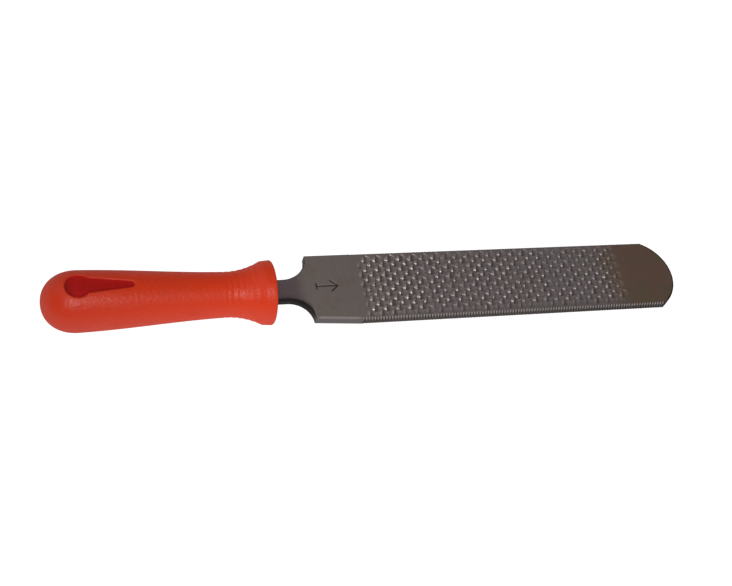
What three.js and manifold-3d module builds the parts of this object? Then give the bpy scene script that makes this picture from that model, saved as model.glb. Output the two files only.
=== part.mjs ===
// Farrier rasp. A flat steel hoof rasp whose tang is forged in one piece with the blade, and a
// one-piece moulded plastic handle that is driven on to the tang.
//
// Frame, in millimetres: the origin lies on the file face of the blade, in the middle of the
// shoulder line where the blade begins. +X runs along the blade to its tip, +Y goes to its far
// edge, and +Z points out through the coarse face. The handle's axis is the blade's middle plane.

import * as THREE from "three";
import { mergeVertices } from "three/addons/utils/BufferGeometryUtils.js";
import Module from "manifold-3d";

const wasm = await Module();
wasm.setup();

// Blade
const bladeLength = 200;        // shoulder line to the end of the tip
const bladeWidth = 38;          // over the points of the edge teeth
const bladeThickness = 5.4;
const tipRise = 11;             // the rounded end beyond the corners of the tip
const tipShift = 0.9;           // the middle of the rounded end lies this far to the near side
const heelLength = 24.8;        // plain steel between the shoulder line and the first teeth
const tipPlainLength = 32;      // plain steel between the last teeth and the end of the tip
const heelRelief = 1.7;         // how much the near edge draws in at the shoulder
const shoulderRadius = 13.2;    // hollow corner between the tang and each shoulder

// Teeth
const toothPitch = 6.18;        // along the blade, in one lane
const laneSpacing = 2.87;       // across the blade, between a lane and the staggered one
const laneCount = 12;
const laneDrift = 0.008;        // the lanes run a little towards the far edge on their way to the tip
const laneStagger = 0.55;       // of a pitch, between a lane and the next
const toothLength = 2.2;
const toothWidth = 2.7;
const toothHeight = 0.6;
const edgeToothStart = 23.4;    // shoulder line to the first small tooth of the edges
const edgeToothPitch = 1.5;
const edgeToothDepth = 0.2;

// Tang
const tangWidth = 11.4;         // where the shoulder corners run into it
const tangTipWidth = 5;
const tangTipThickness = 3.4;

// Handle
const handleGap = 19.4;         // shoulder line to the front face of the handle
const handleLength = 110;
const collarRadius = 15.9;
const collarLength = 5.2;       // straight part of the collar
const collarEdge = 0.9;         // rounding of the collar's front edge
const neckRadius = 11.1;
const flareRadius = 36;         // hollow sweep from the neck up to the collar
const bellyRadius = 14.75;
const domeLength = 16.8;        // from the widest part of the grip to the butt
const domeFullness = 2.15;      // 2 is an ellipse, more is fuller
const tangClearance = 0.3;      // all round the tang in its socket
const socketRelief = 2;         // socket beyond the end of the tang
const eyeWall = 9.8;            // solid plastic between the socket and the hanging eye

// Hanging eye
const eyeButtDistance = 16.7;   // butt to the middle of the round part
const eyeRadius = 6;
const eyeSlotLength = 25.9;     // middle of the round part to the end of the tapered slot
const eyeSlotWide = 4;          // half width where the slot leaves the round part
const eyeSlotNarrow = 1.6;      // half width, and end radius, at the far end of the slot

// Fineness of the facets
const lathedSides = 64;
const arcSteps = 14;

const cutAllowance = 1;         // how far a cutting solid runs past the face that it cuts

// Places along X that the two pieces share
const middleZ = bladeThickness / 2;
const frontX = -handleGap;
const buttX = frontX - handleLength;
const eyeX = buttX + eyeButtDistance;
const socketEndX = eyeX + eyeSlotLength + eyeWall;
const tangEndX = socketEndX + socketRelief;

// Solids

function toSolid(geometry) {
  const bare = geometry.clone();
  bare.deleteAttribute("normal");
  bare.deleteAttribute("uv");
  const merged = mergeVertices(bare, 1e-4);
  return new wasm.Manifold(new wasm.Mesh({
    numProp: 3,
    vertProperties: new Float32Array(merged.attributes.position.array),
    triVerts: new Uint32Array(merged.index.array),
  }));
}

function toGeometry(solid) {
  const mesh = solid.getMesh();
  const geometry = new THREE.BufferGeometry();
  geometry.setAttribute("position", new THREE.BufferAttribute(mesh.vertProperties, 3));
  geometry.setIndex(new THREE.BufferAttribute(mesh.triVerts, 1));
  geometry.computeVertexNormals();
  return geometry;
}

// A plan outline in X and Y, extruded in Z from bottom to top.
function extrudePlan(points, bottom, top) {
  const shape = new THREE.Shape(points);
  const geometry = new THREE.ExtrudeGeometry(shape, { depth: top - bottom, bevelEnabled: false });
  geometry.translate(0, 0, bottom);
  return toSolid(geometry);
}

// A side outline in X and Z, extruded in Y to both sides of the middle plane.
function extrudeSide(points, halfWidth) {
  const shape = new THREE.Shape(points);
  const geometry = new THREE.ExtrudeGeometry(shape, { depth: 2 * halfWidth, bevelEnabled: false });
  geometry.translate(0, 0, -halfWidth);
  geometry.rotateX(Math.PI / 2);
  return toSolid(geometry);
}

// Points on an arc, both ends included, with angles in radians.
function arcPoints(centreX, centreY, radius, from, to, steps = arcSteps) {
  const points = [];
  for (let i = 0; i <= steps; i += 1) {
    const angle = from + ((to - from) * i) / steps;
    points.push(new THREE.Vector2(centreX + radius * Math.cos(angle), centreY + radius * Math.sin(angle)));
  }
  return points;
}

function mirrorAcross(points) {
  return points.map((point) => new THREE.Vector2(point.x, -point.y)).reverse();
}

// Rasp blade

const tipRadius = (tipRise ** 2 + (bladeWidth / 2) ** 2) / (2 * tipRise);
const tipCentreX = bladeLength - tipRadius;
const lastToothX = bladeLength - tipPlainLength;

// Angle of the tip's arc at the far edge (side 1) or the near edge (side -1).
function tipAngle(side) {
  return Math.asin(((side * bladeWidth) / 2 + tipShift) / tipRadius);
}

// One half of the edge, from the shoulder to the tip corner, with its zigzag of small teeth.
function edgeHalf(side, relief) {
  const halfWidth = bladeWidth / 2;
  const tipCornerX = tipCentreX + tipRadius * Math.cos(tipAngle(side));
  const points = [new THREE.Vector2(0, halfWidth - relief)];
  const count = Math.floor((tipCornerX - edgeToothStart) / edgeToothPitch);
  for (let i = 0; i < count; i += 1) {
    const x = edgeToothStart + i * edgeToothPitch;
    points.push(new THREE.Vector2(x, halfWidth));
    points.push(new THREE.Vector2(x + edgeToothPitch / 2, halfWidth - edgeToothDepth));
  }
  points.push(new THREE.Vector2(tipCornerX, halfWidth));
  return points;
}

// One half of the tang, from its end to the shoulder, with the hollow corner as an arc.
function tangHalf(relief) {
  const shoulderY = bladeWidth / 2 - relief;
  const radius = Math.min(shoulderRadius, shoulderY - tangWidth / 2);
  const points = [new THREE.Vector2(tangEndX, tangTipWidth / 2)];
  points.push(new THREE.Vector2(frontX, tangWidth / 2));
  const corner = arcPoints(-radius, tangWidth / 2 + radius, radius, -Math.PI / 2, 0);
  points.push(...corner);
  return points;
}

function bladeOutline() {
  const tipArc = arcPoints(tipCentreX, -tipShift, tipRadius, tipAngle(1), tipAngle(-1), 2 * arcSteps);
  const far = [...tangHalf(0), ...edgeHalf(1, 0)];
  const near = mirrorAcross([...tangHalf(heelRelief), ...edgeHalf(-1, heelRelief)]);
  return [...far, ...tipArc.slice(1, -1), ...near].reverse();
}

// The steel seen from the side: flat along the blade, and the tang tapering to its end.
function steelSide() {
  return [
    new THREE.Vector2(tangEndX, middleZ - tangTipThickness / 2),
    new THREE.Vector2(frontX, 0),
    new THREE.Vector2(bladeLength + cutAllowance, 0),
    new THREE.Vector2(bladeLength + cutAllowance, bladeThickness),
    new THREE.Vector2(frontX, bladeThickness),
    new THREE.Vector2(tangEndX, middleZ + tangTipThickness / 2),
  ];
}

// One coarse tooth: a three-sided point with its steep face towards the tip.
function coarseTooth(x, y) {
  const root = bladeThickness - toothHeight / 3;
  const back = x - toothLength;
  const corners = [
    new THREE.Vector3(back, y, root),
    new THREE.Vector3(x, y - toothWidth / 2, root),
    new THREE.Vector3(x, y + toothWidth / 2, root),
    new THREE.Vector3(x, y, bladeThickness + toothHeight),
  ];
  const geometry = new THREE.BufferGeometry().setFromPoints(corners);
  geometry.setIndex([0, 2, 1, 0, 1, 3, 1, 2, 3, 2, 0, 3]);
  return toSolid(geometry);
}

// Lanes side by side across the blade, with every second lane staggered along it.
function coarseTeeth() {
  const teeth = [];
  for (let lane = 0; lane < laneCount; lane += 1) {
    const laneY = (lane - (laneCount - 1) / 2) * laneSpacing;
    const firstX = heelLength + toothLength + (lane % 2) * laneStagger * toothPitch;
    for (let x = firstX; x <= lastToothX; x += toothPitch) {
      teeth.push(coarseTooth(x, laneY + laneDrift * (x - bladeLength / 2)));
    }
  }
  return teeth;
}

function makeBlade() {
  const plan = extrudePlan(bladeOutline(), -cutAllowance, bladeThickness + cutAllowance);
  const steel = plan.intersect(extrudeSide(steelSide(), bladeWidth));
  return wasm.Manifold.union([steel, ...coarseTeeth()]);
}

// Handle

const bellyX = buttX + domeLength;
const collarBackX = frontX - collarLength;
const flareRise = collarRadius - neckRadius;
const neckX = collarBackX - Math.sqrt(2 * flareRadius * flareRise - flareRise ** 2);

// Radius of the grip at a place between the belly and the neck: a gentle S.
function gripRadius(x) {
  const along = (x - bellyX) / (neckX - bellyX);
  const wave = (1 - Math.cos(Math.PI * along)) / 2;
  return THREE.MathUtils.lerp(bellyRadius, neckRadius, 0.6 * wave + 0.4 * along);
}

// Points of the turned outline as (radius, place along X), from the butt to the front face.
function handleProfile() {
  const points = [new THREE.Vector2(0, buttX)];
  for (let i = 1; i <= arcSteps; i += 1) {
    const angle = ((Math.PI / 2) * i) / arcSteps;
    const radius = bellyRadius * Math.sin(angle) ** (2 / domeFullness);
    const x = bellyX - domeLength * Math.cos(angle) ** (2 / domeFullness);
    points.push(new THREE.Vector2(radius, x));
  }
  for (let i = 1; i <= arcSteps; i += 1) {
    const x = THREE.MathUtils.lerp(bellyX, neckX, i / arcSteps);
    points.push(new THREE.Vector2(gripRadius(x), x));
  }
  const flareSteps = 8;
  for (let i = 1; i <= flareSteps; i += 1) {
    const x = THREE.MathUtils.lerp(neckX, collarBackX, i / flareSteps);
    const drop = Math.sqrt(flareRadius ** 2 - (x - neckX) ** 2);
    points.push(new THREE.Vector2(neckRadius + flareRadius - drop, x));
  }
  const edge = arcPoints(collarRadius - collarEdge, frontX - collarEdge, collarEdge, 0, Math.PI / 2, 6);
  points.push(...edge);
  points.push(new THREE.Vector2(0, frontX));
  return points;
}

// Keyhole outline in plan: a round part near the butt, with a slot that tapers to the front.
function eyeOutline() {
  const joinAngle = Math.asin(eyeSlotWide / eyeRadius);
  const round = arcPoints(eyeX, 0, eyeRadius, joinAngle, 2 * Math.PI - joinAngle, 2 * arcSteps);
  const endX = eyeX + eyeSlotLength - eyeSlotNarrow;
  const end = arcPoints(endX, 0, eyeSlotNarrow, -Math.PI / 2, Math.PI / 2, arcSteps / 2);
  return [...round, ...end];
}

// The socket follows the tang with clearance all round, and is open at the front face.
function socketSolid() {
  const mouthX = frontX + cutAllowance;
  const halfTip = tangTipWidth / 2 + tangClearance;
  const halfMouth = tangWidth / 2 + tangClearance;
  const lowTip = tangTipThickness / 2 + tangClearance;
  const lowMouth = bladeThickness / 2 + tangClearance;
  const plan = [
    new THREE.Vector2(socketEndX, -halfTip),
    new THREE.Vector2(tangEndX, -halfTip),
    new THREE.Vector2(frontX, -halfMouth),
    new THREE.Vector2(mouthX, -halfMouth),
    new THREE.Vector2(mouthX, halfMouth),
    new THREE.Vector2(frontX, halfMouth),
    new THREE.Vector2(tangEndX, halfTip),
    new THREE.Vector2(socketEndX, halfTip),
  ];
  const side = [
    new THREE.Vector2(socketEndX, middleZ - lowTip),
    new THREE.Vector2(tangEndX, middleZ - lowTip),
    new THREE.Vector2(frontX, middleZ - lowMouth),
    new THREE.Vector2(mouthX, middleZ - lowMouth),
    new THREE.Vector2(mouthX, middleZ + lowMouth),
    new THREE.Vector2(frontX, middleZ + lowMouth),
    new THREE.Vector2(tangEndX, middleZ + lowTip),
    new THREE.Vector2(socketEndX, middleZ + lowTip),
  ];
  const block = extrudePlan(plan, middleZ - bladeThickness, middleZ + bladeThickness);
  return block.intersect(extrudeSide(side, bladeWidth));
}

function makeHandle() {
  const turned = new THREE.LatheGeometry(handleProfile(), lathedSides);
  turned.rotateZ(-Math.PI / 2);
  turned.translate(0, 0, middleZ);
  const reach = bellyRadius + cutAllowance;
  const eye = extrudePlan(eyeOutline(), middleZ - reach, middleZ + reach);
  return toSolid(turned).subtract(eye).subtract(socketSolid());
}

// Assembly

function addPiece(group, name, solid, finish) {
  const mesh = new THREE.Mesh(toGeometry(solid), new THREE.MeshStandardMaterial(finish));
  mesh.name = name;
  group.add(mesh);
}

const rasp = new THREE.Group();
addPiece(rasp, "rasp_blade", makeBlade(), { color: 0x635a55, roughness: 0.42, metalness: 1 });
addPiece(rasp, "handle", makeHandle(), { color: 0xb5341d, roughness: 0.38, metalness: 0 });

export default rasp;
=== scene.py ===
import math

import bmesh
import bpy
import numpy as np
from mathutils import Matrix, Vector, geometry


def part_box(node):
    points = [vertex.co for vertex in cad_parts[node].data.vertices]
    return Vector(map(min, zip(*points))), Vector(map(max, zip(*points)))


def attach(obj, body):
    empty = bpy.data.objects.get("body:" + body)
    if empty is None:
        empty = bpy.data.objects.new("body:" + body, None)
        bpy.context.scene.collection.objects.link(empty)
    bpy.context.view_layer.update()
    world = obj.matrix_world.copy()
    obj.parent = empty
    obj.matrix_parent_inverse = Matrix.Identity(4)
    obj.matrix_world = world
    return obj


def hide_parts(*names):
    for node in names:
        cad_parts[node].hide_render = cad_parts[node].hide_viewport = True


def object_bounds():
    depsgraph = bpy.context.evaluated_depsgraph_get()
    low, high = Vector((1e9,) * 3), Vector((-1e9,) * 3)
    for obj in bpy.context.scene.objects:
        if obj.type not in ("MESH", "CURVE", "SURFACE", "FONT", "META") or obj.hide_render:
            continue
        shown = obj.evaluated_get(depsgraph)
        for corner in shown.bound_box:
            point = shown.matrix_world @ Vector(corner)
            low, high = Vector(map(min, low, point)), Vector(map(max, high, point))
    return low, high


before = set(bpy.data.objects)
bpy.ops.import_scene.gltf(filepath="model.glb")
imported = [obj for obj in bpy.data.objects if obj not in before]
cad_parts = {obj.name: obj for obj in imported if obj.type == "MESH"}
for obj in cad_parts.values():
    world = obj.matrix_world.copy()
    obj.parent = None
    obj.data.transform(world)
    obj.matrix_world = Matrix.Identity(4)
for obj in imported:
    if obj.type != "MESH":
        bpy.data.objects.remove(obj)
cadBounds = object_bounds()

# Shapes are worked out in millimetres, and the meshes and everything else are in metres.
mm = 0.001
steelLow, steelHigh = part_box("rasp_blade")
gripLow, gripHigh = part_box("handle")


class MeshMaker:  # points and faces in millimetres, with named marks at each point
    def __init__(self, *marks):
        self.points = []
        self.faces = []
        self.marks = {name: [] for name in marks}

    def add(self, points, **marks):
        start = len(self.points)
        self.points.extend(points)
        for name, values in self.marks.items():
            given = marks.get(name, 0.0)
            values.extend(given if hasattr(given, "__len__") else [given] * len(points))
        return list(range(start, len(self.points)))

    def strip(self, first, second, closed=True):  # quads between two rows of points
        count = len(first)
        for i in range(count if closed else count - 1):
            j = (i + 1) % count
            self.faces.append((first[i], first[j], second[j], second[i]))

    def grid(self, rows):
        for first, second in zip(rows, rows[1:]):
            self.strip(first, second, closed=False)

    def makeObject(self, name, sharpAngle):
        mesh = bpy.data.meshes.new(name)
        mesh.from_pydata([Vector(p) * mm for p in self.points], [], self.faces)
        for mark, values in self.marks.items():
            attribute = mesh.attributes.new(mark, "FLOAT", "POINT")
            attribute.data.foreach_set("value", np.array(values, np.float32))
        work = bmesh.new()
        work.from_mesh(mesh)
        bmesh.ops.recalc_face_normals(work, faces=work.faces)
        openEdges = sum(1 for edge in work.edges if not edge.is_manifold)
        work.to_mesh(mesh)
        work.free()
        mesh.shade_smooth()
        mesh.set_sharp_from_angle(angle=math.radians(sharpAngle))
        made = bpy.data.objects.new(name, mesh)
        bpy.context.scene.collection.objects.link(made)
        print(name, len(mesh.polygons), "faces,", openEdges, "open edges")
        return made


def smoothStep(low, high, value):
    t = np.clip((value - low) / (high - low), 0.0, 1.0)
    return t * t * (3 - 2 * t)


def isInside(polygon, places):  # which places lie inside a closed outline
    ring = np.asarray(polygon, float)
    after = np.roll(ring, -1, axis=0)
    x, y = places[:, 0][:, None], places[:, 1][:, None]
    crosses = (ring[:, 1] > y) != (after[:, 1] > y)
    rise = after[:, 1] - ring[:, 1]
    rise = np.where(rise == 0, 1e-12, rise)
    crossing = (after[:, 0] - ring[:, 0]) * (y - ring[:, 1]) / rise + ring[:, 0]
    return (crosses & (x < crossing)).sum(axis=1) % 2 == 1


def fillFace(maker, outer, holes, plan, loose=()):
    # triangles between an outer loop and its holes: loops hold point numbers, plan gives their places
    numbers = [*outer]
    edges = [(i, (i + 1) % len(outer)) for i in range(len(outer))]
    for hole in holes:
        start = len(numbers)
        numbers.extend(hole)
        edges.extend((start + i, start + (i + 1) % len(hole)) for i in range(len(hole)))
    numbers.extend(loose)
    places = [Vector(plan(maker.points[n])) for n in numbers]
    result = geometry.delaunay_2d_cdt(places, edges, [], 0, 1e-7)
    vertices, triangles, origins = result[0], result[2], result[3]
    corners = np.array([[vertices[i] for i in triangle] for triangle in triangles])
    middles = corners.mean(axis=1)
    keep = isInside([places[i] for i in range(len(outer))], middles)
    start = len(outer)
    for hole in holes:
        keep &= ~isInside([places[start + i] for i in range(len(hole))], middles)
        start += len(hole)
    for triangle, wanted in zip(triangles, keep):
        if wanted:
            maker.faces.append(tuple(numbers[origins[i][0]] for i in triangle))


def arc(centre, radius, start, end, steps):
    angles = np.linspace(math.radians(start), math.radians(end), steps + 1)
    return [(centre[0] + radius * math.cos(a), centre[1] + radius * math.sin(a)) for a in angles]


class Value:  # a node's output that takes part in sums
    def __init__(self, wiring, socket):
        self.wiring = wiring
        self.socket = socket

    def sum(self, operation, *others):
        return self.wiring.node("ShaderNodeMath", {"operation": operation}, dict(enumerate(others)))

    def __add__(self, other):
        return self.sum("ADD", self, other)

    def __sub__(self, other):
        return self.sum("SUBTRACT", self, other)

    def __mul__(self, other):
        return self.sum("MULTIPLY", self, other)

    def __rsub__(self, other):
        return self.sum("SUBTRACT", other, self)

    __radd__ = __add__
    __rmul__ = __mul__


class Wiring:
    def __init__(self, name):
        self.material = bpy.data.materials.new(name)
        self.material.use_nodes = True
        self.tree = self.material.node_tree
        self.tree.nodes.clear()

    def feed(self, socket, value):
        if isinstance(value, Value):
            self.tree.links.new(value.socket, socket)
        else:
            socket.default_value = value

    def node(self, kind, settings=None, sockets=None, output=0):
        made = self.tree.nodes.new(kind)
        for name, value in (settings or {}).items():
            setattr(made, name, value)
        for name, value in (sockets or {}).items():
            self.feed(made.inputs[name], value)
        return Value(self, made.outputs[output]) if len(made.outputs) else None

    def place(self, stretch=(1, 1, 1)):  # object coordinates in millimetres, then stretched
        place = self.node("ShaderNodeTexCoord", output="Object")
        scale = tuple(s / mm for s in stretch)
        return self.node("ShaderNodeMapping", None, {"Vector": place, "Scale": scale})

    def noise(self, size, detail=3, stretch=(1, 1, 1), roughness=0.55):  # size in millimetres
        sockets = {"Vector": self.place(stretch), "Scale": 1 / size, "Detail": detail,
                   "Roughness": roughness}
        return self.node("ShaderNodeTexNoise", {"noise_dimensions": "3D"}, sockets)

    def mark(self, name):  # a value kept at the mesh's points
        return self.node("ShaderNodeAttribute", {"attribute_name": name}, output="Fac")

    def ramp(self, value, low, high):  # 0 below low, 1 above high, smooth between
        sockets = {"Value": value, "From Min": low, "From Max": high}
        return self.node("ShaderNodeMapRange", {"interpolation_type": "SMOOTHSTEP"}, sockets)

    def blend(self, factor, first, second):  # colours
        settings = {"data_type": "RGBA", "blend_type": "MIX"}
        return self.node("ShaderNodeMix", settings, {0: factor, 6: first, 7: second}, output=2)

    def bump(self, height, depth, strength=1.0, under=None):  # depth in millimetres
        sockets = {"Height": height, "Distance": depth * mm, "Strength": strength}
        if under is not None:
            sockets["Normal"] = under
        return self.node("ShaderNodeBump", None, sockets)

    def finish(self, sockets):
        shader = self.node("ShaderNodeBsdfPrincipled", None, sockets)
        self.node("ShaderNodeOutputMaterial", None, {"Surface": shader})
        return self.material


def colour(red, green, blue):  # from the usual 0 to 255 scale
    def straight(c):
        c /= 255
        return c / 12.92 if c <= 0.04045 else ((c + 0.055) / 1.055) ** 2.4
    return (straight(red), straight(green), straight(blue), 1.0)


def fromAbove(point):
    return point[0], point[1]


blade = {
    "length": steelHigh.x / mm,
    "halfWidth": steelHigh.y / mm,
    "thickness": 5.4,
    "tipRise": 11,
    "tipShift": 0.9,            # how far the rounded end's centre lies to the near side
    "tipSteps": 64,
    "heelLength": 24.8,
    "tipPlainLength": 32,
    "heelRelief": 1.7,          # on the near edge only
    "shoulderRadius": 13.2,
    "edgeBreak": 0.42,          # rounding of the long edges, and below, of other upper edges
    "heelBreak": 0.8,
    "tangBreak": {-1: 1.7, 1: 0.6},     # near side and far side
    "tipBreak": 0.8,
    "edgeToothStart": 23.4,
    "edgeToothPitch": 1.5,
    "edgeToothDepth": 0.2,
    "edgeToothSlant": 0.237,    # along the blade for each millimetre down the edge
    "edgeToothShape": ((0, 0), (0.22, 0), (0.55, 1), (0.75, 1)),    # share of pitch, of depth
    "tangEnd": steelLow.x / mm,
    "tangHalfWidth": 5.7,
    "tangTipHalfWidth": 2.5,
    "tangTipThickness": 3.4,
    "handleFront": gripHigh.x / mm,
    # rings of the skin, from the back round to the coarse face: inset and rise in roundings,
    # share of the height, side mark (painted shade on the edge faces), tick mark (painted highlights on
    # the edge teeth), bright line (a painted highlight)
    "skin": ((1.5, 0, 0, 0, 0, 0), (1, 0, 0, 1, 0, 0), (0.5, 0.134, 0, 1, 0, 0),
             (0.134, 0.5, 0, 1, 0.1, 0), (0, 1, 0, 1, 0.12, 0), (0, 0, 0.5, 1, 0.14, 0),
             (0, 0, 0.72, 1, 0.55, 0), (0, -1, 1, 1, 1, 0.6), (0.134, -0.5, 1, 1, 1, 1),
             (0.5, -0.134, 1, 0.8, 0.9, 1), (1, 0, 1, 1, 0.8, 0.5), (1.5, 0, 1, 0, 0, 0)),
    "rimShade": {"near": 0.2, "tang": 0.5, "far": 1.0},      # how dark the upper rim is painted, as painted shade
    "heelHighlight": 0.5,            # the painted highlight along the near edge of the heel
    "coarse": {
        "pitch": 6.18,
        "laneSpacing": 2.87,
        "lanes": 12,
        "laneDrift": 0.008,         # the lanes run a little towards the far edge
        "laneShift": 0.35,          # of all the lanes, towards the far edge
        "stagger": 0.55,            # of a pitch, between a lane and the next
        "firstCrest": 27.4,
        "gridBefore": 2.6,          # mesh before the first crest and past the toothed length
        "gridAfter": 4.2,
        "step": 0.31,               # of the mesh along the blade
        "crossStep": 0.31,
        "reach": 18.06,             # half width of the toothed field
        "fade": 0.7,                # width in which the relief dies out at its edges
        "height": 0.36,
        "backLength": 1.7,
        "frontLength": 0.3,
        "crestFullness": 0.85,
        "crestCurve": 0.06,
        "crestLean": 0.36,          # the far end of a crest lies nearer the tip
        "halfWidth": 1.6,
        "pitLength": 3.9,
        "pitHalfWidth": 2.5,
        "pitSlope": 1.05,
        "pitDepth": 0.55,
        "faceSlope": 3.0,           # of the burr's front, down into the pit
        "faceGap": 0.15,            # from the crest to where the pit starts
        "wear": 0.12,               # share of the relief that is lost towards the tip
        "rowShift": 0.3,            # how unevenly the rows lie along the blade
        "toothShift": 0.15,         # the same for single teeth, along and across
        "toothAside": 0.14,
        "toothTurn": 0.1,
        "lengthSpread": 0.12,
        "slopeSpread": 0.2,
        "unevenness": 0.22,         # of the teeth's size
        "mostRows": 40,
        "seed": 4,
    },
    "fine": {
        "pitch": 1.3,
        "slant": 25,                # degrees from straight across
        "depth": 0.26,
        "ridgeAt": 0.75,            # share of the pitch
        "crossPitch": 1.7,
        "crossSlant": -40,
        "crossDepth": 0.14,
        "crossWidth": 0.22,         # half width of a cross cut, as a share of its pitch
        "margin": 1.3,              # plain strip along each edge
        "rows": 90,
    },
    "stamp": {
        "centre": (8.8, 0.8),
        "halfSize": (7.2, 4.6),
        "step": 0.2,
        "depth": 0.14,
        "line": 0.42,               # half width of its lines
        "wall": (0.6, 1.3),         # where a line's wall starts and ends, as shares of that
        "arrowLength": 11.0,
        "headLength": 3.6,
        "headWidth": 3.1,
        "tailWidth": 1.6,
        "emphasis": 6,              # how much darker than its depth it is coloured
    },
    # wall, pit, the four flanks and the tang's darker tone are painted shade; crest and tick are painted
    # highlights
    "colours": {
        "heel": (163, 150, 143), "middle": (159, 147, 146), "tang": (138, 123, 126),
        "tip": (148, 128, 106), "redderTip": (156, 126, 110), "stain": (140, 120, 108),
        "wall": (110, 105, 105), "pit": (56, 48, 46), "engraving": (40, 32, 30),
        "crest": (200, 194, 194), "tangFlank": (44, 39, 38), "heelFlank": (110, 105, 104),
        "toothFlank": (67, 60, 58), "tipFlank": (46, 39, 37), "tick": (172, 161, 159),
    },
}


def edgeBreakAt(x, side):  # rounding of the edge at a place along the steel
    b = blade
    corner = tipCornerX(side)
    # where each kind of edge fades in and out
    tangIn, tangOut = (b["handleFront"] - 3, b["handleFront"] - 0.5), (-3.0, -0.1)
    heelIn, heelOut = (-0.1, 0.3), (b["edgeToothStart"] - 1.5, b["edgeToothStart"] - 0.2)
    tang = smoothStep(*tangIn, x) * (1 - smoothStep(*tangOut, x))
    heel = (side < 0) * smoothStep(*heelIn, x) * (1 - smoothStep(*heelOut, x))
    tip = smoothStep(corner - 0.3, corner + 1, x)
    radius = b["edgeBreak"]
    for share, wanted in ((tang, b["tangBreak"][side]), (heel, b["heelBreak"]), (tip, b["tipBreak"])):
        radius += share * (wanted - b["edgeBreak"])
    return radius


def edgePoints(side):
    # (x, y, how the point moves inward for a bevel), from the tang's end to the tip corner
    b = blade
    tangSteps, shoulderSteps, heelSteps = 12, 24, 10
    relief = b["heelRelief"] if side < 0 else 0.0
    shoulder = b["halfWidth"] - relief
    radius = min(b["shoulderRadius"], shoulder - b["tangHalfWidth"])
    points = [(b["tangEnd"], b["tangTipHalfWidth"], 1, -1)]
    for i in range(1, tangSteps + 1):
        t = i / tangSteps
        x = b["tangEnd"] + t * (b["handleFront"] - b["tangEnd"])
        points.append((x, b["tangTipHalfWidth"] + t * (b["tangHalfWidth"] - b["tangTipHalfWidth"]), 0, -1))
    centre = (-radius, b["tangHalfWidth"] + radius)
    for x, y in arc(centre, radius, -90, 0, shoulderSteps):
        points.append((x, y, (x - centre[0]) / radius, (y - centre[1]) / radius))
    points[-1] = (0.0, shoulder, 1, -1)
    for i in range(1, heelSteps):
        x = b["edgeToothStart"] * i / heelSteps
        points.append((x, shoulder + relief * i / heelSteps, 0, -1))
    tipCorner = tipCornerX(side)
    pitch = b["edgeToothPitch"]
    for i in range(int((tipCorner - b["edgeToothStart"]) / pitch)):
        x = b["edgeToothStart"] + i * pitch
        for along, drop in b["edgeToothShape"]:
            points.append((x + along * pitch, b["halfWidth"] - drop * b["edgeToothDepth"], 0, -1))
    points.append((tipCorner, b["halfWidth"], -0.2, -1))
    return [(x, side * y, inX, side * inY) for x, y, inX, inY in points]


def tipCircle():
    b = blade
    radius = (b["tipRise"] ** 2 + b["halfWidth"] ** 2) / (2 * b["tipRise"])
    return (b["length"] - radius, -b["tipShift"]), radius


def tipCornerX(side):
    centre, radius = tipCircle()
    return centre[0] + math.sqrt(radius ** 2 - (side * blade["halfWidth"] - centre[1]) ** 2)


def bladeOutline():
    centre, radius = tipCircle()
    near, far = (math.degrees(math.asin((side * blade["halfWidth"] - centre[1]) / radius))
                 for side in (-1, 1))
    tip = []
    for x, y in arc(centre, radius, near, far, blade["tipSteps"])[1:-1]:
        tip.append((x, y, (centre[0] - x) / radius, (centre[1] - y) / radius))
    return edgePoints(-1) + tip + edgePoints(1)[::-1]


def steelFaces(x):  # height of the lower and upper face at a place along the steel
    b = blade
    middle = b["thickness"] / 2
    t = np.clip((x - b["handleFront"]) / (b["tangEnd"] - b["handleFront"]), 0, 1)
    half = middle + t * (b["tangTipThickness"] / 2 - middle)
    return middle - half, middle + half


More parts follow.
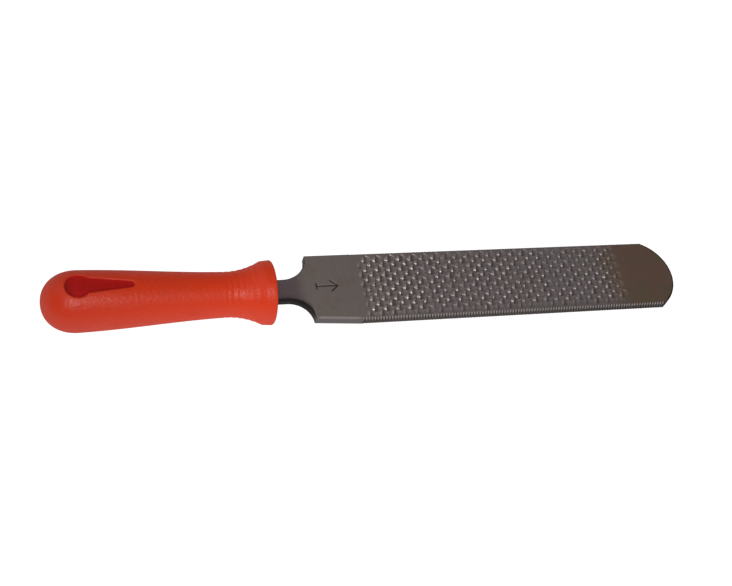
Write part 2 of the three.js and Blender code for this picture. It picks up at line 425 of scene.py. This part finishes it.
def coarseRelief(x, y):
    # Punched teeth: a curved crest that leans to the tip, and the three-sided pit in front of it.
    c = blade["coarse"]
    random = np.random.RandomState(c["seed"])
    relief = np.zeros_like(x)
    middle = blade["length"] / 2
    last = blade["length"] - blade["tipPlainLength"]
    rowJitter = random.uniform(-1, 1, (2, 2, c["mostRows"]))
    for lane in range(c["lanes"]):
        start = c["firstCrest"] + (lane % 2) * c["stagger"] * c["pitch"]
        laneY = (lane - (c["lanes"] - 1) / 2) * c["laneSpacing"] + c["laneShift"]
        count = int((last - start) / c["pitch"]) + 1
        jitter = random.uniform(-1, 1, (5, count))
        number = np.clip(np.round((x - start - 1) / c["pitch"]).astype(int), 0, count - 1)
        along, aside, turn, bulk, stretch = jitter[:, number]
        rowAlong, rowBulk = rowJitter[lane % 2][:, number]
        u = x - start - number * c["pitch"] - c["rowShift"] * rowAlong - c["toothShift"] * along
        v = y - laneY - c["laneDrift"] * (x - middle) - c["toothAside"] * aside
        v = v - c["toothTurn"] * turn * u
        size = 1 + c["unevenness"] * (bulk + rowBulk)
        ahead = u - c["crestLean"] * v - c["crestCurve"] * v * v
        across = np.clip(1 - (v / c["halfWidth"]) ** 2, 0, 1)
        back = 0.5 + 0.5 * np.cos(np.clip(-ahead / c["backLength"], 0, 1) * math.pi)
        slope = np.where(ahead < 0, back, np.clip(1 - ahead / c["frontLength"], 0, 1))
        burr = c["height"] * size * across ** c["crestFullness"] * slope

        # the pit is three-sided in plan with bulging sides, deepest at the foot of the burr
        reached = np.clip(u / (c["pitLength"] * (1 + c["lengthSpread"] * stretch)), 0, 1)
        wallSlope = c["pitSlope"] * (1 + c["slopeSpread"] * turn)
        depth = wallSlope * (c["pitHalfWidth"] * (1 - reached ** 2) - np.abs(v))
        depth = np.minimum(depth, c["faceSlope"] * (ahead - c["faceGap"]))
        depth = np.minimum(depth, c["pitDepth"] * size * (1 - reached))
        relief += burr - np.clip(depth, 0, c["pitDepth"])
    kept = 1 - c["wear"] * smoothStep(c["firstCrest"], last, x)
    return relief * kept * (1 - smoothStep(c["reach"] - c["fade"], c["reach"], np.abs(y)))


def fineRelief(x, y):
    # Crossed file cuts: one deep set of ridges and a shallower set the other way.
    f = blade["fine"]
    along = ((x - y * math.tan(math.radians(f["slant"]))) / f["pitch"]) % 1.0
    ridge = np.where(along < f["ridgeAt"], along / f["ridgeAt"], (1 - along) / (1 - f["ridgeAt"]))
    across = ((x - y * math.tan(math.radians(f["crossSlant"]))) / f["crossPitch"]) % 1.0
    cross = 1 - smoothStep(0.0, f["crossWidth"], np.abs(across - 0.5))
    return -f["depth"] * (1 - ridge) - f["crossDepth"] * cross


def stampRelief(x, y):
    # An engraved arrow that shows which way the rasp cuts.
    s = blade["stamp"]
    u = x - s["centre"][0]
    v = y - s["centre"][1]
    tip = s["arrowLength"] / 2
    barb = tip - s["headLength"]
    strokes = [((-tip, 0), (tip, 0)), ((barb, s["headWidth"]), (tip, 0)),
               ((barb, -s["headWidth"]), (tip, 0)), ((-tip, -s["tailWidth"]), (-tip, s["tailWidth"]))]
    nearest = np.full_like(u, np.inf)
    for (ax, ay), (bx, by) in strokes:
        dx, dy = bx - ax, by - ay
        t = np.clip(((u - ax) * dx + (v - ay) * dy) / (dx * dx + dy * dy), 0, 1)
        nearest = np.minimum(nearest, np.hypot(u - ax - t * dx, v - ay - t * dy))
    foot, brim = s["wall"]
    return -s["depth"] * (1 - smoothStep(s["line"] * foot, s["line"] * brim, nearest))


def reliefGrid(maker, xLines, yLines, shear, face, outward, reliefAt, emphasis=1):
    # a raised and sunk rectangle or parallelogram in a flat face, and the loop round it
    x, y = np.meshgrid(xLines, yLines)
    x = x + shear * y
    relief = reliefAt(x, y)
    border = np.zeros_like(relief, bool)
    border[0, :] = border[-1, :] = border[:, 0] = border[:, -1] = True
    relief[border] = 0
    z = face + outward * relief
    rows = []
    for i in range(len(yLines)):
        row = list(zip(x[i].tolist(), y[i].tolist(), z[i].tolist()))
        rows.append(maker.add(row, relief=(emphasis * relief[i]).tolist()))
    maker.grid(rows)
    right = [row[-1] for row in rows[1:-1]]
    left = [row[0] for row in rows[1:-1]]
    return rows[0] + right + rows[-1][::-1] + left[::-1]


def toothSlant(x, y, drop):  # how far an edge tooth leans along the blade, at a depth below the face
    b = blade
    toTip = tipCornerX(-1 if y < 0 else 1) - x
    inTeeth = min(1, max(0, x - b["edgeToothStart"]), max(0, toTip / 2))
    return b["edgeToothSlant"] * drop * inTeeth * (abs(y) > b["halfWidth"] - 0.5)


def makeSkin(maker):  # the blade's and tang's whole skin but for the two faces, and its rings
    b = blade
    outline = bladeOutline()
    bevels = [edgeBreakAt(x, -1 if y < 0 else 1) for x, y, inX, inY in outline]
    # ticks and lines mark the painted highlights: on the crests of the edge teeth and along the heel's
    # near edge
    ticks, rims, lines = [], [], []
    for x, y, inX, inY in outline:
        inTeeth = b["edgeToothStart"] < x < tipCornerX(-1)
        onCrest = abs(y) > b["halfWidth"] - b["edgeToothDepth"] / 2
        ticks.append(1.0 if inTeeth and onCrest else 0.0)
        lines.append(b["heelHighlight"] if 0 < x < b["edgeToothStart"] and y < 0 else 0.0)
        # the near edge keeps a bright corner, and the rest of the rim is painted dark as painted shade
        nearEdge = x > 0 and y < 2 - b["halfWidth"]
        rims.append(b["rimShade"]["near" if nearEdge else "tang" if x < 0 else "far"])
    rings = []
    for inset, up, share, side, tick, line in b["skin"]:
        points = []
        for (x, y, inX, inY), upperBevel in zip(outline, bevels):
            bevel = upperBevel if share > 0.5 else b["edgeBreak"]
            low, high = steelFaces(x)
            level = low + share * (high - low) + up * bevel
            slant = toothSlant(x, y, high - level)
            points.append((x + slant + inset * bevel * inX, y + inset * bevel * inY, level))
        sides = [side * (rim if inset == 1 and share == 1 else 1) for rim in rims]
        marks = [max(tick * t, line * l) for t, l in zip(ticks, lines)]
        rings.append(maker.add(points, side=sides, tick=marks))
    for first, second in zip(rings, rings[1:]):
        maker.strip(first, second)
    return rings


def makeBlade():
    b, coarse, fine, stamp = blade, blade["coarse"], blade["fine"], blade["stamp"]
    maker = MeshMaker("relief", "side", "tick")
    rings = makeSkin(maker)
    plainFrom = b["length"] - b["tipPlainLength"]

    firstX, lastX = coarse["firstCrest"] - coarse["gridBefore"], plainFrom + coarse["gridAfter"]
    columns = round((lastX - firstX) / coarse["step"])
    reach = coarse["reach"]
    rows = round(2 * reach / coarse["crossStep"])
    coarseLoop = reliefGrid(maker, np.linspace(firstX, lastX, columns + 1),
                            np.linspace(-reach, reach, rows + 1), 0, b["thickness"], 1, coarseRelief)

    (cx, cy), (hx, hy) = stamp["centre"], stamp["halfSize"]
    stampLoop = reliefGrid(maker, np.linspace(cx - hx, cx + hx, round(2 * hx / stamp["step"]) + 1),
                           np.linspace(cy - hy, cy + hy, round(2 * hy / stamp["step"]) + 1),
                           0, b["thickness"], 1, stampRelief, stamp["emphasis"])

    shear = math.tan(math.radians(fine["slant"]))
    edge = b["halfWidth"] - b["edgeToothDepth"] - fine["margin"]
    startX = b["heelLength"] + shear * edge
    cuts = int((plainFrom - shear * edge - startX) / fine["pitch"])
    phases = [i + part for i in range(cuts) for part in (0, 0.4, fine["ridgeAt"])] + [cuts]
    xLines = [math.ceil(startX / fine["pitch"]) * fine["pitch"] + p * fine["pitch"] for p in phases]
    fineLoop = reliefGrid(maker, np.array(xLines), np.linspace(-edge, edge, fine["rows"] + 1),
                          shear, 0, -1, fineRelief)

    fillFace(maker, rings[-1], [coarseLoop, stampLoop], fromAbove)
    fillFace(maker, rings[0], [fineLoop], fromAbove)
    made = maker.makeObject("steel_rasp", 38)
    made.data.materials.append(bladeSteel())
    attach(made, "blade")
    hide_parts("rasp_blade")


def bladeSteel():
    w = Wiring("dark rasp steel")
    paint = {name: colour(*rgb) for name, rgb in blade["colours"].items()}
    relief = w.mark("relief")
    side = w.mark("side")
    tick = w.mark("tick")
    along = w.node("ShaderNodeSeparateXYZ", None, {"Vector": w.place()}, output="X")
    mottle = w.noise(9, detail=4)
    grain = w.noise(1.1, detail=3)
    streaks = w.noise(0.9, detail=2, stretch=(1, 0.05, 0.3))

    # the flat steel from the heel to the tip, and the tang, which is painted darker and bluer as painted
    # shade
    tip = w.blend(w.ramp(w.noise(15), 0.42, 0.58), paint["tip"], paint["redderTip"])
    tone = w.blend(w.ramp(along, 22, 60), paint["heel"], paint["middle"])
    tone = w.blend(w.ramp(along + 14 * mottle, 160, 182), tone, tip)
    tone = w.blend(w.ramp(along + 3 * mottle, 0.5, -7), tone, paint["tang"])
    tone = w.blend(w.ramp(mottle, 0.52, 0.72) * 0.35, tone, paint["stain"])

    # the teeth and the engraving: the cut walls and the pits are painted darker as painted shade, the
    # crests lighter as painted highlights, and the engraving is dark with patina
    wall = w.ramp(relief, -0.02, -0.3)
    pit = w.ramp(relief, -0.12, -0.5)
    crest = w.ramp(relief + 0.16 * grain, 0.12, 0.38)
    tone = w.blend(wall * 0.12, tone, paint["wall"])
    tone = w.blend(pit * 0.6, tone, paint["pit"])
    tone = w.blend(w.ramp(relief, -0.62, -0.8) * 0.7, tone, paint["engraving"])
    tone = w.blend(crest * 0.3, tone, paint["crest"])

    # the edge all round: its faces are painted dark as painted shade, with painted highlights on the edge
    # teeth and along the heel's near edge
    toothed = w.ramp(along, blade["edgeToothStart"] - 0.2, blade["edgeToothStart"] + 0.5)
    toothFlank = w.blend(w.ramp(along, 60, 190), paint["toothFlank"], paint["tipFlank"])
    flank = w.blend(w.ramp(along, -0.5, 0.5), paint["tangFlank"], paint["heelFlank"])
    flank = w.blend(toothed, flank, toothFlank)
    flank = w.blend(tick, flank, paint["tick"])
    tone = w.blend(side, tone, flank)

    rough = 0.42 + 0.10 * mottle + 0.08 * streaks + 0.14 * wall + 0.08 * pit + 0.25 * side
    fineBump = w.bump(streaks, 0.05, 0.55)
    fineBump = w.bump(grain, 0.05, 0.5, fineBump)
    return w.finish({"Base Color": tone, "Metallic": 0.92, "Roughness": rough, "Normal": fineBump})


handle = {
    "butt": gripLow.x / mm,
    "front": gripHigh.x / mm,
    "collarRadius": gripHigh.y / mm,
    "collarLength": 5.2,
    "collarEdge": 0.9,
    "collarDraw": 0.35,         # how much slimmer the collar is at its back
    "neckRadius": 11.1,
    "flareRadius": 36,
    "bellyRadius": 14.75,
    "gripCurve": 0.3,           # how much of the taper is a soft curve: 0 is straight, 0.5 is all
    "domeLength": 16.8,
    "domeFullness": 2.15,
    "sides": 144,
    "rippleHeight": 0.08,
    "ripplePitch": 3.0,
    "rippleFrom": -50,          # where the mesh gets closer rings for the ripples
    "rippleStep": 0.4,
    "partingHeight": 0.04,
    "partingWidth": 0.35,
    "socketClearance": 0.3,
    "socketRelief": 2,
    "socketLeadIn": 0.5,
    "socketCorner": 9,          # how square its corners are
    "eye": {
        "centre": gripLow.x / mm + 16.7,
        "radius": 6.0,
        "slotLength": 25.9,
        "slotWide": 4.0,            # half widths of the slot
        "slotNarrow": 1.6,
        "rim": 0.9,                 # rounding of its edge
        "rimSteps": 5,
        "wallSteps": 6,
        "patchMargin": 3.6,
        "patchAngle": 42,           # half of the strip round it, in degrees about the handle's axis
    },
    "colours": {
        # butt and collar are the two ends of a painted light falloff along the handle
        "butt": (188, 46, 14), "collar": (214, 56, 18), "cloud": (188, 48, 22),
        # inside is the eye's wall, painted darker red as painted shade
        "grime": (140, 44, 30), "inside": (192, 18, 17),
    },
}

axisHeight = blade["thickness"] / 2


def handleRadius(x):
    h = handle
    belly = h["butt"] + h["domeLength"]
    collarBack = h["front"] - h["collarLength"]
    backRadius = h["collarRadius"] - h["collarDraw"]
    rise = backRadius - h["neckRadius"]
    neck = collarBack - math.sqrt(2 * h["flareRadius"] * rise - rise ** 2)
    if x <= belly:
        out = min(1.0, (belly - x) / h["domeLength"])
        return h["bellyRadius"] * (1 - out ** h["domeFullness"]) ** (1 / h["domeFullness"])
    if x <= neck:
        t = (x - belly) / (neck - belly)
        curve = h["gripCurve"]
        taper = curve * (1 - math.cos(math.pi * t)) + (1 - 2 * curve) * t
        radius = h["bellyRadius"] + (h["neckRadius"] - h["bellyRadius"]) * taper
    elif x <= collarBack:
        radius = h["neckRadius"] + h["flareRadius"] - math.sqrt(h["flareRadius"] ** 2 - (x - neck) ** 2)
    else:
        straight = h["collarLength"] - h["collarEdge"]
        radius = backRadius + h["collarDraw"] * min(1.0, (x - collarBack) / straight)
        inset = x - (h["front"] - h["collarEdge"])
        if inset > 0:
            radius -= h["collarEdge"] - math.sqrt(max(h["collarEdge"] ** 2 - inset ** 2, 0))
    # faint ripples run round the neck only
    fade = smoothStep(neck - 6, neck + 2, x) * (1 - smoothStep(collarBack - 3, collarBack - 1, x))
    return radius + h["rippleHeight"] * fade * math.sin(2 * math.pi * x / h["ripplePitch"])


def handleStations():  # places along the handle where the mesh has a ring, from butt to front
    h = handle
    domeSteps, gripSteps, collarSteps, edgeSteps = 26, 45, 4, 10
    aside = 0.12  # of the collar's back corner, which has a ring on each side of it
    belly = h["butt"] + h["domeLength"]
    collarBack = h["front"] - h["collarLength"]
    edgeStart = h["front"] - h["collarEdge"]
    step = h["rippleStep"]
    places = [belly - h["domeLength"] * math.cos(a) ** (2 / h["domeFullness"])
              for a in np.linspace(0, math.pi / 2, domeSteps + 1)[1:]]
    places += list(np.linspace(belly, h["rippleFrom"], gripSteps + 1)[1:])
    places += list(np.arange(h["rippleFrom"] + step, collarBack - 0.3, step))
    places += [collarBack - aside, collarBack + aside]
    places += list(np.linspace(collarBack + aside, edgeStart, collarSteps + 1)[1:])
    places += [edgeStart + h["collarEdge"] * math.sin(a)
               for a in np.linspace(0, math.pi / 2, edgeSteps + 1)[1:]]
    return places


def eyeOutline():
    # keyhole in plan, rounded where the slot meets the round part, with its outward directions
    e = handle["eye"]
    roundSteps, slotSteps, endSteps = 60, 36, 16
    join = math.degrees(math.asin(e["slotWide"] / e["radius"]))
    joinX = e["centre"] + e["radius"] * math.cos(math.radians(join))
    endX = e["centre"] + e["slotLength"] - e["slotNarrow"]
    points = arc((e["centre"], 0), e["radius"], join, 360 - join, roundSteps)
    points += [(joinX + t * (endX - joinX), -e["slotWide"] + t * (e["slotWide"] - e["slotNarrow"]))
               for t in np.linspace(0, 1, slotSteps + 2)[1:-1]]
    points += arc((endX, 0), e["slotNarrow"], -90, 90, endSteps)
    points += [(x, -y) for x, y in points[roundSteps + slotSteps:roundSteps:-1]]
    loop = np.array(points)
    loop = 0.5 * loop + 0.25 * (np.roll(loop, 1, axis=0) + np.roll(loop, -1, axis=0))
    along = np.roll(loop, -1, axis=0) - np.roll(loop, 1, axis=0)
    along /= np.linalg.norm(along, axis=1)[:, None]
    outward = np.stack([along[:, 1], -along[:, 0]], axis=1)
    return loop, outward


def skinHeight(x, y):  # how far the handle's skin stands above its axis, at a place in plan
    radius = handleRadius(x)
    return math.sqrt(max(radius ** 2 - y * y, 0.01))


def cutEye(maker, rings, stations):
    # Opens the eye through the turned skin, with a rounded rim above and below and a wall between.
    e = handle["eye"]
    sides = handle["sides"]
    loop, outward = eyeOutline()
    first = max(i for i, x in enumerate(stations) if x < e["centre"] - e["radius"] - e["patchMargin"])
    last = min(i for i, x in enumerate(stations) if x > e["centre"] + e["slotLength"] + e["patchMargin"])
    half = round(sides * e["patchAngle"] / 360)
    wallRings = []
    for up, middle in ((1, 0), (-1, sides // 2)):
        numbers = [(middle + k) % sides for k in range(-half, half + 1)]
        border = [rings[first][k] for k in numbers]
        border += [rings[i][numbers[-1]] for i in range(first + 1, last)]
        border += [rings[last][k] for k in numbers[::-1]]
        border += [rings[i][numbers[0]] for i in range(last - 1, first, -1)]
        rimRings = []
        for turn in range(e["rimSteps"] + 1):
            angle = math.radians(90 * turn / e["rimSteps"])
            places = loop + outward * (e["rim"] * (1 - math.sin(angle)))
            drop = e["rim"] * (1 - math.cos(angle))
            points = [(x, y, axisHeight + up * (skinHeight(x, y) - drop)) for x, y in places]
            # the inside mark rises through the rim into the eye, where the wall is painted darker as
            # painted shade
            rimRings.append(maker.add(points, inside=max(0, (turn - 2) / (e["rimSteps"] - 2))))
        outer = loop + outward * (e["rim"] + 0.5)
        inside = [rings[i][k] for i in range(first + 1, last) for k in numbers[1:-1]]
        spots = np.array([maker.points[n][:2] for n in inside])
        free = [n for n, near in zip(inside, isInside(outer, spots)) if not near]
        fillFace(maker, border, [rimRings[0]], fromAbove, free)
        for a, b in zip(rimRings, rimRings[1:]):
            maker.strip(a, b)
        wallRings.append(rimRings[-1])
    top, bottom = wallRings
    levels = [top]
    for step in range(1, e["wallSteps"]):
        points = []
        for a, b in zip(top, bottom):
            low, high = Vector(maker.points[b]), Vector(maker.points[a])
            points.append(tuple(high.lerp(low, step / e["wallSteps"])))
        levels.append(maker.add(points, inside=1.0))
    levels.append(bottom)
    for a, b in zip(levels, levels[1:]):
        maker.strip(a, b)
    return first, last, half


def axisRing(maker, x, reachAt):  # a ring of points about the handle's axis, at a reach for each angle
    points = []
    for k in range(handle["sides"]):
        angle = 2 * math.pi * k / handle["sides"]
        reach = reachAt(angle)
        points.append((x, reach * math.sin(angle), axisHeight + reach * math.cos(angle)))
    return maker.add(points)


def skinRing(maker, x):  # one ring of the handle's skin, with a fine ridge where the mould parts
    h = handle
    radius = handleRadius(x)
    ridge = h["partingHeight"] if x < h["front"] - h["collarEdge"] else 0

    def reachAt(angle):
        seam = abs(math.cos(angle)) * radius / h["partingWidth"]
        return radius + ridge * math.exp(-seam ** 2)
    return axisRing(maker, x, reachAt)


def socketRing(maker, x, halfWide, halfHigh, outer=0, share=1):
    # a rounded rectangle across the axis, or with a share below 1, a ring on the way to it
    corner = handle["socketCorner"]

    def reachAt(angle):
        s, c = abs(math.sin(angle)), abs(math.cos(angle))
        square = ((s / halfWide) ** corner + (c / halfHigh) ** corner) ** (-1 / corner)
        return outer + share * (square - outer)
    return axisRing(maker, x, reachAt)


def makeSocket(maker, frontRing):
    # From the collar's front face in along the tang to the blind end.
    h = handle
    clear, lead = h["socketClearance"], h["socketLeadIn"]
    wide, high = blade["tangHalfWidth"] + clear, blade["thickness"] / 2 + clear
    tipWide, tipHigh = blade["tangTipHalfWidth"] + clear, blade["tangTipThickness"] / 2 + clear
    inner = h["collarRadius"] - h["collarEdge"]
    socket = [frontRing]
    for share in (0.35, 0.7):
        socket.append(socketRing(maker, h["front"], wide + lead, high + lead, inner, share))
    socket.append(socketRing(maker, h["front"], wide + lead, high + lead))
    socket.append(socketRing(maker, h["front"] - lead, wide, high))
    for t in np.linspace(0, 1, 9)[1:]:
        x = h["front"] - lead + t * (blade["tangEnd"] - h["front"] + lead)
        socket.append(socketRing(maker, x, wide + t * (tipWide - wide), high + t * (tipHigh - high)))
    socket.append(socketRing(maker, blade["tangEnd"] - h["socketRelief"], tipWide, tipHigh))
    for a, b in zip(socket, socket[1:]):
        maker.strip(a, b)
    maker.faces.append(tuple(socket[-1]))


def makeHandle():
    maker = MeshMaker("inside")
    sides = handle["sides"]
    stations = handleStations()
    rings = [skinRing(maker, x) for x in stations]
    pole = maker.add([(handle["butt"], 0, axisHeight)])[0]
    for k in range(sides):
        maker.faces.append((pole, rings[0][(k + 1) % sides], rings[0][k]))

    first, last, half = cutEye(maker, rings, stations)
    for i in range(len(stations) - 1):
        for k in range(sides):
            inTop = k < half or k >= sides - half
            inBottom = sides // 2 - half <= k < sides // 2 + half
            if first <= i < last and (inTop or inBottom):
                continue
            j = (k + 1) % sides
            maker.faces.append((rings[i][k], rings[i][j], rings[i + 1][j], rings[i + 1][k]))
    makeSocket(maker, rings[-1])

    made = maker.makeObject("moulded_handle", 50)
    dropLoosePoints(made)
    made.data.materials.append(handlePlastic())
    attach(made, "handle")
    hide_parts("handle")


def dropLoosePoints(made):
    work = bmesh.new()
    work.from_mesh(made.data)
    loose = [point for point in work.verts if not point.link_faces]
    bmesh.ops.delete(work, geom=loose, context="VERTS")
    work.to_mesh(made.data)
    work.free()


def handlePlastic():
    w = Wiring("red-orange handle plastic")
    paint = {name: colour(*rgb) for name, rgb in handle["colours"].items()}
    inside = w.mark("inside")
    cloud = w.noise(26, detail=3)
    peel = w.noise(1.4, detail=3, roughness=0.5)
    speck = w.noise(0.5, detail=2)
    grime = w.noise(7, detail=5, roughness=0.65)
    along = w.node("ShaderNodeSeparateXYZ", None, {"Vector": w.place()}, output="X")
    # lighter towards the collar and darker towards the butt: painted light, standing in for the light
    # falling off along the handle
    tone = w.blend(w.ramp(along, -135, -25), paint["butt"], paint["collar"])
    tone = w.blend(cloud * 0.5, tone, paint["cloud"])
    tone = w.blend(w.ramp(grime, 0.56, 0.78) * 0.18, tone, paint["grime"])
    # the eye's wall is painted darker red as painted shade
    tone = w.blend(inside * 0.9, tone, paint["inside"])
    facing = w.node("ShaderNodeLayerWeight", None, {"Blend": 0.35}, output="Facing")
    rough = 0.36 + 0.08 * cloud + 0.10 * w.ramp(grime, 0.45, 0.75) + 0.35 * inside + 0.5 * facing
    skin = w.bump(peel, 0.30, 0.8)
    skin = w.bump(speck, 0.06, 0.5, skin)
    return w.finish({"Base Color": tone, "Roughness": rough, "Specular IOR Level": 0.24, "Normal": skin})


studio = {
    "floorSize": 7.0,
    "floorGap": 0.0003,         # under the end of the tip
    "key": {"towards": (-0.25, -0.52, 0.82), "distance": 1.1, "size": (0.22, 0.16), "power": 7.5},
    "card": {"towards": (0.5, -0.78, 0.4), "distance": 1.9, "size": (2.4, 1.3), "power": 3.7,
             "tint": (0.8, 0.88, 1.0)},
    "fill": {"towards": (-0.6, 0.45, 0.66), "distance": 1.9, "size": (1.6, 1.6), "power": 8},
    "room": 0.13,
    "roomTint": (0.96, 0.98, 1.0, 1),
}

view = {
    "azimuth": -30.31,
    "elevation": 54.01,
    "roll": 22.61,
    "distance": 0.6634,
    "lens": 65.5,
    "sensor": 36,
    "clip": (0.01, 50),
    "aside": (-0.0066, -0.0028, 0),  # from the middle of the rasp
}


def makeCamera():
    low, high = cadBounds
    aim = Vector(((low.x + high.x) / 2, 0, axisHeight * mm)) + Vector(view["aside"])
    a, e, roll = (math.radians(view[key]) for key in ("azimuth", "elevation", "roll"))
    back = Vector((math.sin(a) * math.cos(e), -math.cos(a) * math.cos(e), math.sin(e)))
    right = (-back).cross(Vector((0, 0, 1))).normalized()
    up = right.cross(-back)
    turnedRight = math.cos(roll) * right + math.sin(roll) * up
    turnedUp = -math.sin(roll) * right + math.cos(roll) * up
    data = bpy.data.cameras.new("view")
    data.lens = view["lens"]
    data.sensor_width = view["sensor"]
    data.clip_start, data.clip_end = view["clip"]
    camera = bpy.data.objects.new("view", data)
    turn = Matrix((turnedRight, turnedUp, back)).transposed().to_4x4()
    camera.matrix_world = Matrix.Translation(aim + back * view["distance"]) @ turn
    bpy.context.scene.collection.objects.link(camera)
    bpy.context.scene.camera = camera


def floorPaper():
    wiring = Wiring("pale paper floor")
    fibre = wiring.noise(14, detail=2)
    tone = wiring.blend(fibre, (0.10, 0.10, 0.10, 1), (0.13, 0.13, 0.13, 1))
    return wiring.finish({"Base Color": tone, "Roughness": 0.9, "Emission Color": (1, 1, 1, 1),
                          "Emission Strength": 1.0})


def makeFloor():
    # The rasp lies on its collar and the end of its tip, so the floor leans by that angle.
    collar = handle["collarRadius"] - axisHeight
    rest = handle["front"] - handle["collarEdge"]
    lean = math.atan2(collar, blade["length"] - rest)
    half = studio["floorSize"] / 2
    mesh = bpy.data.meshes.new("floor")
    mesh.from_pydata([(-half, -half, 0), (half, -half, 0), (half, half, 0), (-half, half, 0)], [],
                     [(0, 1, 2, 3)])
    mesh.materials.append(floorPaper())
    floor = bpy.data.objects.new("floor", mesh)
    pivot = Vector((blade["length"] * mm, 0, -studio["floorGap"]))
    floor.matrix_world = Matrix.Translation(pivot) @ Matrix.Rotation(-lean, 4, "Y")
    bpy.context.scene.collection.objects.link(floor)


def makeLight(name, settings):
    towards = Vector(settings["towards"]).normalized()
    data = bpy.data.lights.new(name, "AREA")
    data.shape = "RECTANGLE"
    data.size, data.size_y = settings["size"]
    data.energy = settings["power"]
    data.color = settings.get("tint", (1, 1, 1))
    lamp = bpy.data.objects.new(name, data)
    middle = (cadBounds[0] + cadBounds[1]) / 2
    lamp.location = middle + towards * settings["distance"]
    lamp.rotation_euler = towards.to_track_quat("Z", "Y").to_euler()
    bpy.context.scene.collection.objects.link(lamp)


def makeStudio():
    makeFloor()
    for name in ("key", "card", "fill"):
        makeLight(name, studio[name])
    world = bpy.data.worlds.new("dim room")
    world.use_nodes = True
    background = world.node_tree.nodes["Background"]
    background.inputs["Color"].default_value = studio["roomTint"]
    background.inputs["Strength"].default_value = studio["room"]
    bpy.context.scene.world = world
    bpy.context.scene.view_settings.view_transform = "Standard"


makeCamera()
print("camera set")
makeBlade()
print("blade made")
makeHandle()
print("handle made")
makeStudio()
print("studio lit")
